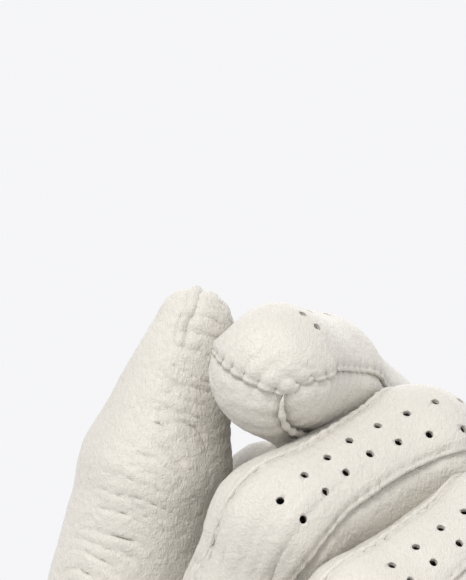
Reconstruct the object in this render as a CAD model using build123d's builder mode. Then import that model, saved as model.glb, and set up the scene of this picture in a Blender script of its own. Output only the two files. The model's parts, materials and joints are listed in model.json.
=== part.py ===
"""A left-hand golf glove, as it sits on a hand that pinches something thin.

The glove is cut and sewn from thin leather. Each finger stall has a back panel, a palm
panel and side strips (fourchettes) between the fingers. Every stall is split at its
bending joint: the base stays with the palm, and the tip turns on the joint.

Millimetres. The origin is the middle of the wrist opening. Across the hand, "radial" is
towards the thumb, "distal" is towards the fingertips and "dorsal" is out of the back.
"""
from build123d import *
from math import asin, cos, degrees, radians, sin
import os

os.makedirs("parts", exist_ok=True)

# ---------------------------------------------------------------- driving dimensions
LEATHER = 0.8            # thickness of every leather wall
SLIP = 0.3               # gap between pieces that move past each other
WRIST = 22.0             # from the wrist opening to the wrist joint

# How the hand is held: the radial direction, and the dorsal side that goes with it.
HAND_RADIAL = (-0.753, 0.585, 0.301)
HAND_DORSAL = (0.387, 0.764, -0.516)

# Each finger: knuckle (radial, distal, dorsal) from the wrist joint, bone lengths,
# bends at its three joints, spread towards the thumb, roll, and the stall's outer
# radius at the knuckle, the middle joint, the end joint and the fingertip.
FINGERS = {
    "index": dict(
        knuckle=(22, 84, 4), bones=(40, 23.5, 14.5), bends=(24.4, 73.5, 10.5),
        spread=-2.7, roll=12.9, radii=(9.6, 9.4, 9.0, 8.8), opens=45,
    ),
    "middle": dict(
        knuckle=(2, 86, 6), bones=(44, 26, 15.5), bends=(48.8, 96.8, 63.2),
        spread=-11.6, roll=3.9, radii=(9.9, 9.6, 8.9, 8.0), opens=18,
    ),
    "ring": dict(
        knuckle=(-18, 80, 4), bones=(41, 25, 15), bends=(49.0, 99.7, 44.1),
        spread=-7.8, roll=4.9, radii=(9.6, 9.2, 8.5, 7.8), opens=20,
    ),
    "little": dict(
        knuckle=(-36, 71, -1), bones=(33, 19, 13.5), bends=(76.1, 84.1, 42.0),
        spread=-6.4, roll=1.9, radii=(9.0, 8.4, 7.7, 7.1), opens=30,
    ),
}
# The sides on which each stall has a fourchette; on its other sides, back meets palm.
FOURCHETTES = {
    "index": ["ulnar"], "middle": ["radial", "ulnar"],
    "ring": ["radial", "ulnar"], "little": ["radial"],
}
PANEL_SHARE = 0.62       # half-width of a back or palm panel, as a share of the radius

# The thumb: root, knuckle, joint and tip (radial, distal, dorsal) from the wrist joint.
THUMB_JOINTS = [(22, 20, -10), (24.5, 65.2, -18.0), (28.1, 95.3, -33.5), (30.0, 115.2, -42.6)]
THUMB_RADII = (13.2, 11.3, 9.4, 4.6)
THUMB_NAIL_SIDE = (-0.93, -0.37, 0.0)    # the way the thumb's nail faces; it opens that way
THUMB_FACING = (-0.10, -1.0, 0.0)        # the way the thumb's front panel faces
THUMB_OPENS = 25
SWING_MARGIN = 6         # degrees that a base is cut back beyond its tip's furthest turn

# Sections of the hand from the opening to the knuckles: distance, radial and dorsal
# offset of the middle, half-width, half-thickness and slant.
HAND_SECTIONS = [
    (0, 0, 0, 34, 22, 0),
    (24, 0, 0, 30.5, 20, 0),
    (56, -1, 0, 39, 18, 0),
    (86, -4, 1, 40, 17, 6),
    (103, -6, 1, 38, 12, 12),
]
# The fold of leather between the thumb and the index finger: its ends and radius.
WEB_ENDS = [(23.5, 48, -14), (20, 86, -2)]
WEB_RADIUS = 8.5

# The opening on the back and its closure.
SLIT_HALF_WIDTH, SLIT_LENGTH = 5.0, 40.0
UNDERLAY_RADIAL, UNDERLAY_DISTAL = (-12, 12), (1, SLIT_LENGTH + 6)
TAB_RADIAL, TAB_ULNAR = 14.0, -26.0          # hinge line and free end of the tab
TAB_LOW, TAB_HIGH = 8.0, 36.0                # its two edges, from the opening
TAB_BASE_WIDTH, TAB_GAP = 7.0, 0.8           # the sewn end, and its gap to the tab
PATCH_THICK, TAB_THICK = 0.8, 1.0
PATCH_MARGIN = 3.0
BINDING_WIDTH, BINDING_THICK = 5.0, 0.8
LINING_HEIGHTS = (-LEATHER - 0.9, -LEATHER - 0.1)      # of pieces sewn inside the leather
LABEL_HEIGHTS = (-LEATHER - 0.6, -LEATHER - 0.1)
ELASTIC_LOW, ELASTIC_WIDTH = 24.0, 6.0
LABEL_LOW, LABEL_WIDTH, LABEL_HEIGHT = 7.0, 18.0, 12.0

REACH = 60.0             # larger than any piece that a cutting block has to cover

hand = Plane((0, 0, 0), x_dir=HAND_RADIAL, z_dir=HAND_DORSAL)


# ---------------------------------------------------------------- places
def turned(plane, about, angle):
    """The plane turned on its own origin."""
    axis = Axis((0, 0, 0), about)
    return Plane(plane.origin, plane.x_dir.rotate(axis, angle), plane.z_dir.rotate(axis, angle))


def in_hand(radial, distal, dorsal):
    """A point given from the wrist joint, in the hand's own directions."""
    return hand.from_local_coords(Vector(radial, distal + WRIST, dorsal))


def finger_frames(knuckle, bones, bends, spread, roll):
    """A plane at each joint: x radial, y along the bone, z dorsal; the last is the tip."""
    frame = Plane(in_hand(*knuckle), hand.x_dir, hand.z_dir)
    frame = turned(frame, frame.z_dir, -spread)
    frame = turned(frame, frame.y_dir, roll)
    frames = []
    for bone, bend in zip(bones, bends):
        frame = turned(frame, -frame.x_dir, bend)
        frames.append(frame)
        frame = Plane(frame.origin + frame.y_dir * bone, frame.x_dir, frame.z_dir)
    return frames + [frame]


def frame_between(start, end, facing):
    """A plane at the start: y towards the end, z as near as it can be to facing."""
    along = (end - start).normalized()
    side = along.cross(Vector(facing)).normalized()
    return Plane(start, side, side.cross(along))


def thumb_frames():
    """The same planes for the thumb, whose dorsal side is the one with the nail."""
    joints = [in_hand(*joint) for joint in THUMB_JOINTS]
    frames = [frame_between(a, b, THUMB_NAIL_SIDE) for a, b in zip(joints, joints[1:])]
    return frames + [Plane(joints[-1], frames[-1].x_dir, frames[-1].z_dir)]


def side_view(frame):
    """The plane that shows a finger from the side: x along the bone, y dorsal."""
    return Plane(frame.origin, frame.y_dir, frame.x_dir)


# ---------------------------------------------------------------- plain solids
def round_cone(frame, length, start_radius, end_radius):
    """Two balls and the cone that wraps them, along the frame's y."""
    lean = degrees(asin((start_radius - end_radius) / length))
    with BuildPart() as cone:
        with BuildSketch(frame):
            with BuildLine():
                start = CenterArc((0, 0), start_radius, -90, 90 + lean)
                end = CenterArc((0, length), end_radius, lean, 90 - lean)
                Line(start @ 1, end @ 0)
                Line(end @ 1, start @ 0)
            make_face()
        revolve(axis=Axis(frame.origin, frame.y_dir))
    return cone.part


def stall(frames, radii, inset=0.0):
    """Round cones from joint to joint; each starts a hair thinner than the last ended."""
    with BuildPart() as solid:
        for number, (frame, after) in enumerate(zip(frames, frames[1:])):
            length = (after.origin - frame.origin).length
            start = radii[number] - inset - 0.05 * number
            add(round_cone(frame, length, start, radii[number + 1] - inset))
    return solid.part


def block(plane, low, high, width=2 * REACH, depth=2 * REACH, middle=(0, 0)):
    """A block between two heights over a plane."""
    with BuildPart() as solid:
        with BuildSketch(plane.offset(low)):
            with Locations(middle):
                Rectangle(width, depth)
        extrude(amount=high - low)
    return solid.part


def hand_body(inset=0.0):
    """The hand from beyond the wrist opening to the knuckles, as one lofted solid."""
    with BuildPart() as body:
        for distance, radial, dorsal, half_width, half_thick, slant in hand_sections(inset):
            middle = hand.from_local_coords(Vector(radial, distance, dorsal))
            across = turned(Plane(middle, hand.x_dir, -hand.y_dir), hand.z_dir, slant)
            with BuildSketch(across):
                Ellipse(half_width - inset, half_thick - inset)
        loft()
    return body.part


def hand_sections(inset):
    """The sections, drawn out past the opening and drawn in at the knuckles."""
    first, *others, last = HAND_SECTIONS
    return [(-6, *first[1:]), first, *others, (last[0] - inset, *last[1:])]


def fan(frame, *corners):
    """A prism across a finger, from corners seen from the side of the frame's joint."""
    with BuildPart() as space:
        with BuildSketch(side_view(frame).offset(-REACH)):
            Polygon(*corners, align=None)
        extrude(amount=2 * REACH)
    return space.part


def toward(angle, distance=2 * REACH):
    """A corner seen from the side: the angle is from the bone, up towards its back."""
    return (distance * cos(radians(angle)), distance * sin(radians(angle)))


def swept_by_tip(frame, ball, opens):
    """What a stall's base gives up, so that its tip can turn from rest until it is open."""
    under = -(ball + SLIP + 0.3)
    corner = (2 * REACH, 2 * REACH)
    return fan(frame, (0, 0), (0, under), (2 * REACH, under), corner, toward(90 + opens + SWING_MARGIN))


def mouth(frame, bend):
    """What the tip's ball gives up, so that a finger can pass from the base into it."""
    start = min(90 + bend - 5, 178)
    return fan(frame, (0, 0), toward(start), toward((start + 270) / 2), toward(270))


def dorsal_side(frame, bone, bend):
    """The side of the back: above the line through the joints, as seen from the side."""
    end = (bone + REACH * cos(radians(bend)), -REACH * sin(radians(bend)))
    above = 2 * REACH
    return fan(frame, (-above, 0), (bone, 0), end, (above, end[1]), (above, above), (-above, above))


def save(piece, name):
    piece.part.label = name
    export_step(piece.part, f"parts/{name}.step")


# ---------------------------------------------------------------- the hand's own panels
web_start, web_end = (in_hand(*end) for end in WEB_ENDS)
web_frame = frame_between(web_start, web_end, hand.z_dir)
web_length = (web_end - web_start).length

fingers = {
    name: finger_frames(f["knuckle"], f["bones"], f["bends"], f["spread"], f["roll"])
    for name, f in FINGERS.items()
}
thumb = thumb_frames()

with BuildPart() as hand_outer:
    add(hand_body())
    add(round_cone(web_frame, web_length, WEB_RADIUS, WEB_RADIUS - 0.5))

with BuildPart() as hand_inner:
    add(hand_body(LEATHER))
    add(round_cone(web_frame, web_length, WEB_RADIUS - LEATHER, WEB_RADIUS - LEATHER - 0.5))

with BuildPart() as hand_shell:
    add(hand_outer.part)
    add(hand_inner.part, mode=Mode.SUBTRACT)
    add(block(hand, -REACH, REACH, middle=(0, -REACH)), mode=Mode.SUBTRACT)
    add(stall(thumb[:2], THUMB_RADII, LEATHER), mode=Mode.SUBTRACT)
    add(stall(thumb[1:], THUMB_RADII[1:], -SLIP), mode=Mode.SUBTRACT)
    for name, frames in fingers.items():
        add(stall(frames[:2], FINGERS[name]["radii"], LEATHER), mode=Mode.SUBTRACT)

with BuildPart() as palm_panel:
    add(hand_shell.part)
    add(block(hand, 0, REACH, 4 * REACH, 6 * REACH), mode=Mode.SUBTRACT)

with BuildPart() as back_panel:
    add(hand_shell.part)
    add(block(hand, -REACH, 0, 4 * REACH, 6 * REACH), mode=Mode.SUBTRACT)
    with BuildSketch(hand):
        Polygon(
            (-SLIT_HALF_WIDTH, -REACH), (SLIT_HALF_WIDTH, -REACH),
            (1, SLIT_LENGTH), (-1, SLIT_LENGTH), align=None,
        )
    extrude(amount=REACH, mode=Mode.SUBTRACT)

save(palm_panel, "palm_panel")
save(back_panel, "back_panel")


# ---------------------------------------------------------------- finger stalls
def base_shell(frames, radii, opens):
    """The stall from the knuckle to the joint, open at both ends."""
    with BuildPart() as shell:
        add(stall(frames[:2], radii))
        add(stall(frames[:2], radii, LEATHER), mode=Mode.SUBTRACT)
        add(hand_outer.part, mode=Mode.SUBTRACT)
        add(swept_by_tip(frames[1], ball_radius(radii), opens), mode=Mode.SUBTRACT)
    return shell.part


def tip_shell(frames, radii):
    """The stall from the joint's ball to the fingertip; the ball fits inside the base."""
    tip_radii = (ball_radius(radii), *radii[2:])
    with BuildPart() as shell:
        add(stall(frames[1:], tip_radii))
        add(stall(frames[1:], tip_radii, LEATHER), mode=Mode.SUBTRACT)
        bend = frames[0].y_dir.get_angle(frames[1].y_dir)
        add(mouth(frames[1], bend), mode=Mode.SUBTRACT)
    return shell.part


def ball_radius(radii):
    return radii[1] - LEATHER - SLIP


def strips(sides, half_width):
    """Where the panels and the fourchettes lie across a finger: name, from, to, dorsal."""
    panel_low = -half_width if "ulnar" in sides else -REACH
    panel_high = half_width if "radial" in sides else REACH
    pieces = [("back", panel_low, panel_high, True), ("palm", panel_low, panel_high, False)]
    if "ulnar" in sides:
        pieces.append(("ulnar_fourchette", -REACH, -half_width, None))
    if "radial" in sides:
        pieces.append(("radial_fourchette", half_width, REACH, None))
    return pieces


def save_strips(finger, part_of_stall, shell, frame, back_side):
    """Cut one length of a stall into its strips and write each one."""
    half_width = PANEL_SHARE * FINGERS[finger]["radii"][1]
    for strip, low, high, dorsal in strips(FOURCHETTES[finger], half_width):
        with BuildPart() as piece:
            add(shell)
            add(block(side_view(frame), low, high, 4 * REACH, 4 * REACH), mode=Mode.INTERSECT)
            if dorsal is not None:
                add(back_side, mode=Mode.INTERSECT if dorsal else Mode.SUBTRACT)
        with BuildPart() as whole_strip:
            add(piece.solids().sort_by(SortBy.VOLUME)[-1])
        save(whole_strip, f"{finger}_{strip}_{part_of_stall}")


for finger, frames in fingers.items():
    spec = FINGERS[finger]
    base = base_shell(frames, spec["radii"], spec["opens"])
    save_strips(finger, "base", base, frames[0], block(frames[0], 0, REACH, 4 * REACH, 4 * REACH))
    tip = tip_shell(frames, spec["radii"])
    tip_back = dorsal_side(frames[1], spec["bones"][1], spec["bends"][2])
    save_strips(finger, "tip", tip, frames[1], tip_back)

# ---------------------------------------------------------------- thumb
thumb_split = frame_between(thumb[1].origin, thumb[2].origin, THUMB_FACING)
thumb_front_side = block(thumb_split, 0, REACH, 4 * REACH, 4 * REACH)

with BuildPart() as thumb_base:
    add(base_shell(thumb, THUMB_RADII, THUMB_OPENS))
with BuildPart() as thumb_front:
    add(tip_shell(thumb, THUMB_RADII))
    add(thumb_front_side, mode=Mode.INTERSECT)
with BuildPart() as thumb_back:
    add(tip_shell(thumb, THUMB_RADII))
    add(thumb_front_side, mode=Mode.SUBTRACT)

save(thumb_base, "thumb_base")
save(thumb_back, "thumb_back")
save(thumb_front, "thumb_front")


# ---------------------------------------------------------------- closure and cuff
def layer(low, high):
    """A skin around the hand between two heights over the leather's outer face."""
    with BuildPart() as skin:
        add(hand_body(-high))
        add(hand_body(-low), mode=Mode.SUBTRACT)
    return skin.part


def back_cover(low, high, radial, distal, rounding=0.0):
    """A rounded-end patch of a layer, on the back of the hand, over the given ranges."""
    middle = (sum(radial) / 2, sum(distal) / 2)
    with BuildPart() as patch:
        add(layer(low, high))
        with BuildSketch(hand) as outline:
            with Locations(middle):
                Rectangle(radial[1] - radial[0], distal[1] - distal[0])
            if rounding:
                fillet(outline.vertices().group_by(Axis.X)[0], rounding)
        extrude(amount=REACH, mode=Mode.INTERSECT)
    return patch.part


loop_top = PATCH_THICK
hook_bottom = loop_top + SLIP
hook_top = hook_bottom + PATCH_THICK
tab_top = hook_top + TAB_THICK

tab_radial = (TAB_ULNAR, TAB_RADIAL)
tab_distal = (TAB_LOW, TAB_HIGH)
patch_distal = (TAB_LOW + PATCH_MARGIN, TAB_HIGH - PATCH_MARGIN)
patch_radial = (TAB_ULNAR + PATCH_MARGIN, -SLIT_HALF_WIDTH - 1)
base_radial = (TAB_RADIAL + TAB_GAP, TAB_RADIAL + TAB_GAP + TAB_BASE_WIDTH)

with BuildPart() as loop_patch:
    add(back_cover(0, loop_top, patch_radial, patch_distal, rounding=6))
with BuildPart() as hook_patch:
    add(back_cover(hook_bottom, hook_top, patch_radial, patch_distal, rounding=6))
with BuildPart() as closure_tab:
    add(back_cover(hook_top, tab_top, tab_radial, tab_distal, rounding=9))
with BuildPart() as closure_tab_base:
    add(back_cover(0, tab_top, base_radial, tab_distal))

with BuildPart() as slit_underlay:
    add(back_cover(*LINING_HEIGHTS, UNDERLAY_RADIAL, UNDERLAY_DISTAL))

with BuildPart() as cuff_binding:
    add(layer(0, BINDING_THICK))
    with BuildSketch(Plane((0, 0, 0), hand.x_dir, hand.y_dir)):
        Circle(REACH)
    extrude(amount=BINDING_WIDTH, mode=Mode.INTERSECT)

with BuildPart() as wrist_elastic:
    add(layer(*LINING_HEIGHTS))
    add(
        block(hand, -REACH, -4, middle=(0, ELASTIC_LOW + ELASTIC_WIDTH / 2), depth=ELASTIC_WIDTH),
        mode=Mode.INTERSECT,
    )

with BuildPart() as size_label:
    add(layer(*LABEL_HEIGHTS))
    add(
        block(
            hand, -REACH, -4, width=LABEL_WIDTH, depth=LABEL_HEIGHT,
            middle=(0, LABEL_LOW + LABEL_HEIGHT / 2),
        ),
        mode=Mode.INTERSECT,
    )

save(loop_patch, "loop_patch")
save(hook_patch, "hook_patch")
save(closure_tab, "closure_tab")
save(closure_tab_base, "closure_tab_base")
save(slit_underlay, "slit_underlay")
save(cuff_binding, "cuff_binding")
save(wrist_elastic, "wrist_elastic")
save(size_label, "size_label")
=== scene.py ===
"""The looks of a left-hand leather golf glove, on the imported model's frame.

Lengths are millimetres until a mesh is made, which is in metres. Across the hand, r is
towards the thumb, d towards the fingertips and b out of the back of the hand.
"""
import bpy
import json
from math import atan2, ceil, cos, pi, radians, sin, sqrt, tan
import numpy as np
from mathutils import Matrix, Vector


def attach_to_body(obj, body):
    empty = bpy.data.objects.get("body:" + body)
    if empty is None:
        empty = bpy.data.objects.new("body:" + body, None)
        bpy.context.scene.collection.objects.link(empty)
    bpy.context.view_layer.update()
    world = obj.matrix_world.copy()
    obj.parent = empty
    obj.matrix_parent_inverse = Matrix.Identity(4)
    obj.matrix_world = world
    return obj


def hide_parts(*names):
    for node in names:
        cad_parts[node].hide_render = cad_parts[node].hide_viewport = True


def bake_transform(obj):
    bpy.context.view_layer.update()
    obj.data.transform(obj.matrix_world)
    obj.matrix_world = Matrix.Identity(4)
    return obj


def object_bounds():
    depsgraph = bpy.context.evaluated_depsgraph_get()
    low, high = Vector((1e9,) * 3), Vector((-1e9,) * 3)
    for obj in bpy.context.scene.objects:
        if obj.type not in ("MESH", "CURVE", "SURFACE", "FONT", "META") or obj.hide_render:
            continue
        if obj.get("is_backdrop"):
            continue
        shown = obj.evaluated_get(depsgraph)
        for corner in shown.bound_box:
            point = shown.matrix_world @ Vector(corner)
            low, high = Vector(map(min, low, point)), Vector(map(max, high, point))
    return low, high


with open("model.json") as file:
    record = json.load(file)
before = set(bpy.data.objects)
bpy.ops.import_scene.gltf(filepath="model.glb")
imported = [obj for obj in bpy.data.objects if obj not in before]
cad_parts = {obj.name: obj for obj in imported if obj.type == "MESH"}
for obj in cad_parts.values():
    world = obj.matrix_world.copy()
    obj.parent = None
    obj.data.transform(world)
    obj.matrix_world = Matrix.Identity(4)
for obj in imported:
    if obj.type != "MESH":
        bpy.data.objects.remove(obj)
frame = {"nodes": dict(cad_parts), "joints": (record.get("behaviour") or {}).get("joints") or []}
cad_low, cad_high = (list(corner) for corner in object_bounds())

# ---------------------------------------------------------------- driving dimensions
MM = 0.001
LEATHER = 0.6            # thickness of the leather
LAP = 0.42               # how far a lapped panel stands over the one beneath it
WRIST = 22.0             # from the wrist opening to the wrist joint

SEAM_ALLOWANCE = 0.95    # how far a lapped edge reaches past its seam
STITCH_INSET = 0.8
STITCH_PITCH, STITCH_LENGTH, STITCH_RADIUS = 2.35, 1.65, 0.24
STITCH_START = 0.4
STITCH_GAP_AT = STITCH_START - (STITCH_PITCH - STITCH_LENGTH) / 2    # between two stitches
THREAD_PROUD = 0.22      # how far threads stand over the averaged seam
HOLE_SPACING = 5.35      # along the leather
HOLE_RADIUS = 0.6
HOLES_START = 16.0       # no holes nearer the knuckle than this
ROW_ANGLE = 19.0         # between two rows, round the finger
SECOND_ROW_LAG = 0.15    # of the second row behind the first
PANEL_HALF = 47.0        # half-width of a palm panel, in degrees round the stall
RISE_LENGTH = 9.0        # along which a stall's skin rises out of the hand's leather
SUNK_START = 1.5         # how far a stall's first edge lies below the hand's leather
DART_START = 97.5        # along the thumb
WELT_RADIUS = 0.5
WELT_START = 12          # rows of a seam beneath the hand's leather, without a welt

SLIT_HALF_WIDTH, SLIT_END_HALF_WIDTH, SLIT_LENGTH = 5.0, 1.2, 40.0
TAB_RADIAL, TAB_ULNAR = 14.0, -26.0
TAB_LOW, TAB_HIGH = 8.0, 36.0
TAB_DROP = 2.0           # of the tab's sewn end, down on to the back of the hand
TAB_HEIGHT, HOOK_HEIGHT, LOOP_HEIGHT = 3.1, 2.0, 1.15    # over the hand's skin
ELASTIC_AT = 27.0        # the wrist elastic's distance from the opening
GATHER_PITCH = 2.9       # of the leather's gathers along the wrist elastic
BINDING_GAP = 0.155      # half the angle that the slit leaves open at the cuff
# The binding's section: out of the leather, and up from the cuff's edge.
BINDING_PROFILE = [
    (1.25, 4.2), (1.45, 3.9), (1.5, 2.0), (1.3, 0.2), (0.6, -0.7), (-0.4, -0.9), (-1.3, -0.3),
    (-1.7, 1.0), (-1.7, 3.2), (-1.45, 3.8), (-0.9, 3.6), (-0.9, 0.8), (-0.2, 0.1), (0.6, 0.8),
    (0.75, 4.0),
]

HAND_RADIAL = (-0.753, 0.585, 0.301)
HAND_DORSAL = (0.387, 0.764, -0.516)

# Knuckle (r, d, b) from the wrist joint, bone lengths, bends, spread and roll, and the
# stall's radius at the knuckle, the middle joint, the end joint and the fingertip.
FINGERS = {
    "index": dict(
        knuckle=(22, 84, 4), bones=(40, 23.5, 14.5), bends=(24.4, 73.5, 10.5),
        spread=-2.7, roll=12.9, radii=(10.2, 9.9, 9.4, 9.2),
    ),
    "middle": dict(
        knuckle=(2, 86, 6), bones=(44, 26, 15.5), bends=(48.8, 96.8, 63.2),
        spread=-11.6, roll=3.9, radii=(10.6, 10.4, 9.6, 8.8),
    ),
    "ring": dict(
        knuckle=(-18, 80, 4), bones=(41, 25, 15), bends=(49.0, 99.7, 44.1),
        spread=-7.8, roll=4.9, radii=(10.3, 9.9, 9.2, 8.5),
    ),
    "little": dict(
        knuckle=(-36, 71, -1), bones=(33, 19, 13.5), bends=(76.1, 84.1, 42.0),
        spread=-6.4, roll=1.9, radii=(9.7, 9.0, 8.3, 7.7),
    ),
}
THUMB_JOINTS = [(22, 20, -10), (24.5, 65.2, -18.0), (28.1, 95.3, -33.5), (30.0, 115.2, -42.6)]
THUMB_RADII = (14.0, 12.0, 10.4, 5.3)
THUMB_FACING = (-0.10, -1.0, 0.0)

# Leather between thumb and index finger, and the loose fold beside the index finger: radii
# at both ends and softness of the join with the hand.
WEB_RADII, WEB_SOFTNESS = (6.5, 7.5), 9.0
WEB_FOLD = ((22.5, 98, -6), (25.2, 128.5, -11.0))
FOLD_RADII, FOLD_SOFTNESS = (9.0, 7.4), 11.0
# How far the hand's own skin reaches under a stall, as a share of the thumb's second bone
# and of a finger's first.
THUMB_STUB, FINGER_STUB = 0.10, 0.42

# Sections of the hand: distance from the opening, r and b of the middle, half-width and
# half-thickness.
HAND_SECTIONS = [
    (0, 0, 0, 34.0, 22.0),
    (24, 0, 0, 30.5, 20.0),
    (56, -1, 0, 39.0, 18.0),
    (86, -4, 1, 40.0, 16.5),
    (112, -7, 1, 36.0, 12.0),
]
HAND_BOX = (-58, 0, -62), (58, 152, 38)      # where the hand's skin is looked for
HAND_MESH_STEP = 1.25

# Name, place from the view's centre (m), size (m), power (W) and colour.
LIGHTS = [
    ("key", (-0.20, -0.50, 0.52), 0.28, 3.75, (1, 0.995, 0.98)),
    ("fill", (0.6, -0.5, -0.1), 0.7, 1.15, (0.97, 0.98, 1)),
    ("back", (0.1, 0.8, 0.5), 0.8, 1.5, (1, 1, 1)),
]


# ---------------------------------------------------------------- directions and places
def unit(vector):
    vector = np.asarray(vector, float)
    return vector / np.linalg.norm(vector, axis=-1, keepdims=True)


def run_along(places):
    """The length run at each place of a line, or down each column of a grid."""
    gaps = np.linalg.norm(np.diff(places, axis=0), axis=-1)
    return np.concatenate([np.zeros((1, *gaps.shape[1:])), np.cumsum(gaps, axis=0)])


def rows_at(where, stations, table):
    """The table's rows, read off between its stations."""
    return np.stack([np.interp(where, stations, column) for column in table.T], -1)


def turn(vectors, axis, degrees):
    """Rows of vectors turned about an axis by the right-hand rule."""
    axis, angle = unit(axis), radians(degrees)
    vectors = np.asarray(vectors, float)
    along = (vectors @ axis)[..., None] * axis
    return along + (vectors - along) * cos(angle) + np.cross(axis, vectors) * sin(angle)


def axes_from(facing_r, facing_b):
    b = unit(facing_b)
    r = unit(np.asarray(facing_r) - np.dot(facing_r, b) * b)
    return np.array([r, np.cross(b, r), b])


HAND = axes_from(HAND_RADIAL, HAND_DORSAL)


def in_hand(points):
    """Row-frame points from hand places measured from the wrist opening."""
    return np.asarray(points, float) @ HAND


def from_wrist(point):
    return in_hand(np.asarray(point, float) + (0, WRIST, 0))


def finger_chain(knuckle, bones, bends, spread, roll, radii):
    """Joint places and, for each bone, its r, d and b directions."""
    axes = turn(HAND, HAND[2], -spread)
    axes = turn(axes, axes[1], roll)
    joints, directions = [from_wrist(knuckle)], []
    for bone, bend in zip(bones, bends):
        axes = turn(axes, -axes[0], bend)
        directions.append(axes)
        joints.append(joints[-1] + axes[1] * bone)
    return np.array(joints), np.array(directions), np.array(radii, float)


def thumb_chain():
    """The thumb's skin is laid out from THUMB_FACING, so that its seams are out of sight."""
    joints = np.array([from_wrist(joint) for joint in THUMB_JOINTS])
    directions = []
    for start, end in zip(joints, joints[1:]):
        along = unit(end - start)
        side = unit(np.cross(along, THUMB_FACING))
        directions.append(np.array([side, along, np.cross(side, along)]))
    return joints, np.array(directions), np.array(THUMB_RADII)


# ---------------------------------------------------------------- distance fields
def round_cone(points, start, end, start_radius, end_radius):
    """Signed distance to two balls and the cone that wraps them."""
    along = end - start
    length2 = along @ along
    taper = start_radius - end_radius
    slope2 = length2 - taper * taper
    to_point = points - start
    y = to_point @ along
    z = y - length2
    x2 = np.sum((to_point * length2 - y[:, None] * along) ** 2, axis=1)
    y2, z2 = y * y * length2, z * z * length2
    k = np.sign(taper) * taper * taper * x2
    at_start = np.sqrt(x2 + y2) / length2 - start_radius
    at_end = np.sqrt(x2 + z2) / length2 - end_radius
    between = (np.sqrt(x2 * slope2 / length2) + y * taper) / length2 - start_radius
    return np.where(
        np.sign(z) * slope2 * z2 > k, at_end,
        np.where(np.sign(y) * slope2 * y2 < k, at_start, between),
    )


def soft_union(a, b, softness):
    h = np.maximum(softness - np.abs(a - b), 0) / softness
    return np.minimum(a, b) - h * h * softness / 4


def chain_field(joints, radii, softness=1.6):
    def field(points):
        total = None
        for bone in zip(joints, joints[1:], radii, radii[1:]):
            part = round_cone(points, *bone)
            total = part if total is None else soft_union(total, part, softness)
        return total
    return field


def slopes(field, points, step=0.05):
    """The field's gradient at the points, as unit normals."""
    gradient = np.empty_like(points)
    for axis in range(3):
        shift = np.zeros(3)
        shift[axis] = step
        gradient[:, axis] = field(points + shift) - field(points - shift)
    return unit(gradient + 1e-12)


def march(field, origins, rays, steps=28):
    """Where each ray meets the field's surface, and the outward normals there."""
    origin, ray = origins.reshape(-1, 3), rays.reshape(-1, 3)
    reach = np.zeros(len(origin))
    for _ in range(steps):
        reach -= field(origin + ray * reach[:, None])
    points = origin + ray * reach[:, None]
    return points.reshape(rays.shape), slopes(field, points).reshape(rays.shape)


# ---------------------------------------------------------------- noise
def lattice(cells, seed):
    """A repeatable pseudo-random value from -1 to 1 for each whole-numbered cell."""
    mixed = np.zeros(cells.shape[:-1], np.uint64)
    for axis, prime in enumerate((73856093, 19349663, 83492791)):
        part = (cells[..., axis].astype(np.int64) + 100000).astype(np.uint64)
        mixed ^= part * np.uint64(prime)
    mixed = (mixed + np.uint64(seed * 2654435761)) * np.uint64(6364136223846793005)
    mixed ^= mixed >> np.uint64(29)
    mixed *= np.uint64(1442695040888963407)
    return (mixed >> np.uint64(40)).astype(float) / 2 ** 23 - 1


def noise(points, seed=0):
    """Smooth value noise over rows of up to three coordinates."""
    points = np.atleast_2d(points)
    if points.shape[1] < 3:
        points = np.pad(points, ((0, 0), (0, 3 - points.shape[1])))
    cell = np.floor(points)
    t = points - cell
    t = t * t * t * (t * (t * 6 - 15) + 10)
    total = np.zeros(len(points))
    for corner in np.ndindex(2, 2, 2):
        weight = np.prod(np.where(np.array(corner) == 1, t, 1 - t), axis=1)
        total += weight * lattice(cell + corner, seed)
    return total


def creases(points, seed=0):
    """Ridged noise: narrow valleys between rounded folds, from -1 in a valley to 0.4."""
    first = 1 - np.abs(noise(points, seed)) * 2.4
    second = 1 - np.abs(noise(points * 2.1 + 7, seed + 1)) * 2.4
    return 0.4 - np.clip(first, 0, 1) ** 2 - 0.4 * np.clip(second, 0, 1) ** 2


def bump(value, centre, width):
    return np.exp(-(((value - centre) / width) ** 2))


def ramp(value, low, high):
    t = np.clip((value - low) / (high - low), 0, 1)
    return t * t * (3 - 2 * t)


# ---------------------------------------------------------------- meshes
def add_mesh(name, vertices, faces, material, smooth=True):
    mesh = bpy.data.meshes.new(name)
    mesh.from_pydata((np.asarray(vertices) * MM).tolist(), [], [list(f) for f in faces])
    mesh.validate()
    mesh.update()
    if smooth:
        mesh.shade_smooth()
    mesh.materials.append(material)
    piece = bpy.data.objects.new(name, mesh)
    bpy.context.scene.collection.objects.link(piece)
    return piece


def grid_faces(rows, columns, closed=False):
    """Quads over a grid of rows by columns; closed joins the last column to the first."""
    faces = []
    last = columns if closed else columns - 1
    for row in range(rows - 1):
        for column in range(last):
            after = (column + 1) % columns
            faces.append((
                row * columns + column, row * columns + after,
                (row + 1) * columns + after, (row + 1) * columns + column,
            ))
    return faces


def capped_faces(rows, sides):
    """The faces of a tube of rings, facing out, with both ends shut."""
    faces = [face[::-1] for face in grid_faces(rows, sides, closed=True)]
    last = (rows - 1) * sides
    return faces + [tuple(range(sides)), tuple(reversed(range(last, last + sides)))]


def add_part(whole, part):
    """Adds a part's vertices and faces to a pair of growing lists."""
    first = len(whole[0])
    whole[0].extend(part[0])
    whole[1].extend(tuple(first + i for i in face) for face in part[1])


def apply_modifiers(piece):
    """Bake the piece's modifiers into its mesh."""
    graph = bpy.context.evaluated_depsgraph_get()
    baked = bpy.data.meshes.new_from_object(piece.evaluated_get(graph))
    piece.modifiers.clear()
    piece.data = baked


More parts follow.
